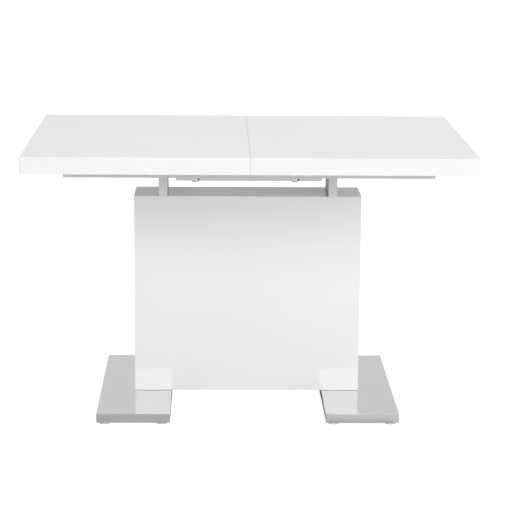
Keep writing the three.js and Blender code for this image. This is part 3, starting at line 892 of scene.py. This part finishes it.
def build_frame_welds():
    """Beads where the posts meet the beams and the beams meet the runners."""
    for side in SIDES:
        bm = new_bmesh()
        low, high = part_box(f"post_{side}")
        inner, outer = low.x - BEAD_OUTSET, high.x + BEAD_OUTSET
        near, far = low.y - BEAD_OUTSET, high.y + BEAD_OUTSET
        level = high.z - BEAD_SUNK
        add_bead_path(bm, [
            (inner, near, level), (outer, near, level), (outer, far, level),
            (inner, far, level), (inner, near, level),
        ])
        low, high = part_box(f"cross_beam_{side}")
        top, bottom = high.z - BEAD_FROM_TOP, low.z + BEAD_FROM_BOTTOM
        for y in (low.y + BEAD_SUNK, high.y - BEAD_SUNK):
            for x in (low.x - BEAD_OUTSET, high.x + BEAD_OUTSET):
                add_bead(bm, (x, y, top), (x, y, bottom))
        finish_extra(bm, f"frame_welds_{side}", "base", "grey_paint")


# ---- Sliders, dowels and leaf -------------------------------------------------------
SLIDER_ROUND = 0.8 * MM
DOWEL_CHAMFER = 1.2 * MM
DOWEL_RIDGE = 0.985
DOWEL_FLUTE = 0.93
LEAF_ARRIS = 1.5 * MM
ARM_ROUND = 0.4 * MM
STRAP_ROUND = 0.35 * MM
BUMPER_ROUND = 0.8 * MM
BARREL_RADIUS = 1.15 * MM
BARREL_FORWARD = 0.8 * MM
BARREL_RISE = 0.9 * MM
GROOVE_RADIUS = 0.9 * MM
GROOVE_SLOPE = 0.25 * MM
KNUCKLE = 5.0 * MM
ARM_SCREWS = (0.14, 0.5, 0.86)
ARM_SCREW_RISE = 7 * MM
STRAP_SCREWS = (0.45, 0.8)
BEARING_BOLTS = (0.22, 0.78)
BEARING_BOLT_RISE = 10 * MM


def build_sliders():
    for side in SIDES:
        for end in ENDS:
            node = f"slider_{side}_{end}"
            build_rounded(node, f"{node}_planed", SLIDER_ROUND, 2, along(0))


def build_dowel(node):
    """A fluted beech dowel with chamfered ends."""
    low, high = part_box(node)
    radius = (high.z - low.z) / 2
    length = high.x - low.x
    fluted = [radius * (DOWEL_RIDGE if step % 3 else DOWEL_FLUTE) for step in range(ROUND)]
    tip = circle(radius * 0.75)
    rings = [
        (None, 0), (tip, 0), (fluted, DOWEL_CHAMFER), (fluted, length - DOWEL_CHAMFER),
        (tip, length), (None, length),
    ]
    bm = new_bmesh()
    start = Vector((low.x, (low.y + high.y) / 2, (low.z + high.z) / 2))
    add_turned(bm, rings, facing(start, (1, 0, 0)))
    finish_node(bm, node, f"{node}_fluted")


def build_leaf():
    for level in ("upper", "lower"):
        build_rounded(f"leaf_{level}", f"leaf_{level}_lacquered", LEAF_ARRIS, 4)
    for side in SIDES:
        build_rounded(f"leaf_arm_{side}", f"leaf_arm_{side}_pressed", ARM_ROUND, 2)
        build_rounded(f"leaf_hinge_{side}", f"leaf_hinge_{side}_bent", STRAP_ROUND, 2)
        build_rounded(f"leaf_bumper_{side}", f"leaf_bumper_{side}_moulded", BUMPER_ROUND, 3)


def build_hinge_barrels():
    """The rolled barrel along the lower edge of each hinge strap, split into knuckles."""
    groove, barrel = circle(GROOVE_RADIUS), circle(BARREL_RADIUS)
    for side in SIDES:
        low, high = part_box(f"leaf_hinge_{side}")
        length = high.x - low.x
        count = round(length / KNUCKLE)
        pitch = length / count
        rings = [(None, 0)]
        for index in range(count):
            start = index * pitch
            rings += [
                (groove, start), (barrel, start + GROOVE_SLOPE),
                (barrel, start + pitch - GROOVE_SLOPE),
            ]
        rings += [(groove, length), (None, length)]
        bm = new_bmesh()
        place = Vector((low.x, low.y - BARREL_FORWARD, low.z + BARREL_RISE))
        add_turned(bm, rings, facing(place, (1, 0, 0)))
        finish_extra(bm, f"hinge_barrel_{side}", "leaf", "bolt_steel")


def build_leaf_screws():
    """Screws through each arm into the panel's end, and through each hinge strap."""
    for side in SIDES:
        sign = -1 if side == "left" else 1
        bm = new_bmesh()
        low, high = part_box(f"leaf_arm_{side}")
        face_x = low.x if side == "left" else high.x
        for share in ARM_SCREWS:
            y = low.y + (high.y - low.y) * share
            add_screw(bm, (face_x, y, low.z + ARM_SCREW_RISE), (sign, 0, 0))
        low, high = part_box(f"leaf_hinge_{side}")
        for share in STRAP_SCREWS:
            y = low.y + (high.y - low.y) * share
            place = ((low.x + high.x) / 2, y, low.z)
            add_screw(bm, place, (0, 0, -1), radius=2.8 * MM, height=0.6 * MM)
        finish_extra(bm, f"leaf_screws_{side}", "leaf", "bolt_steel")


def build_bearing_bolts():
    """Two bolts that hold each leaf bearing to its cross beam."""
    for side in SIDES:
        sign = 1 if side == "left" else -1
        low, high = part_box(f"leaf_bearing_{side}")
        face_x = high.x if side == "left" else low.x
        bm = new_bmesh()
        for share in BEARING_BOLTS:
            y = low.y + (high.y - low.y) * share
            place = (face_x, y, low.z + BEARING_BOLT_RISE)
            add_screw(bm, place, (sign, 0, 0), radius=3.4 * MM, height=1.8 * MM)
        finish_extra(bm, f"bearing_bolts_{side}", "base", "bolt_steel")


# ---- Put it together ----------------------------------------------------------------
BOLT = {
    "head_radius": 6.5 * MM, "shank_radius": 4 * MM,
    "head_height": 5 * MM, "socket": 2.5 * MM,
}
STOP = {
    "head_radius": 5 * MM, "shank_radius": 3 * MM,
    "head_height": 4 * MM, "socket": 2 * MM,
}
PIVOT = {
    "head_radius": 8 * MM, "shank_radius": 5 * MM,
    "head_height": 2.7 * MM, "socket": 3 * MM,
}

for side in SIDES:
    build_tabletop(side)
    build_base_cover(side)
    build_base_core(side)
    outward = (-1, 0, 0) if side == "left" else (1, 0, 0)
    build_bolt(f"leaf_pivot_{side}", outward, **PIVOT)
    for end in ENDS:
        build_bolt(f"base_bolt_{side}_{end}", (0, 0, 1), **BOLT)
        build_bolt(f"post_bolt_{side}_{end}", (0, 0, 1), **BOLT)
        to_runner = (0, -1, 0) if end == "front" else (0, 1, 0)
        build_bolt(f"stop_bolt_{end}_{side}", to_runner, **STOP)
        for edge in ("outer", "inner"):
            build_glide(f"glide_{side}_{end}_{edge}")
build_seam_strip()
for panel in ("front", "back", "side_left", "side_right", "top", "bottom"):
    build_pedestal_panel(f"pedestal_{panel}")
for end in ENDS:
    build_dowel(f"seam_dowel_{end}")
build_posts()
build_beams_and_runners()
build_frame_welds()
build_sliders()
build_leaf()
build_hinge_barrels()
build_leaf_screws()
build_bearing_bolts()
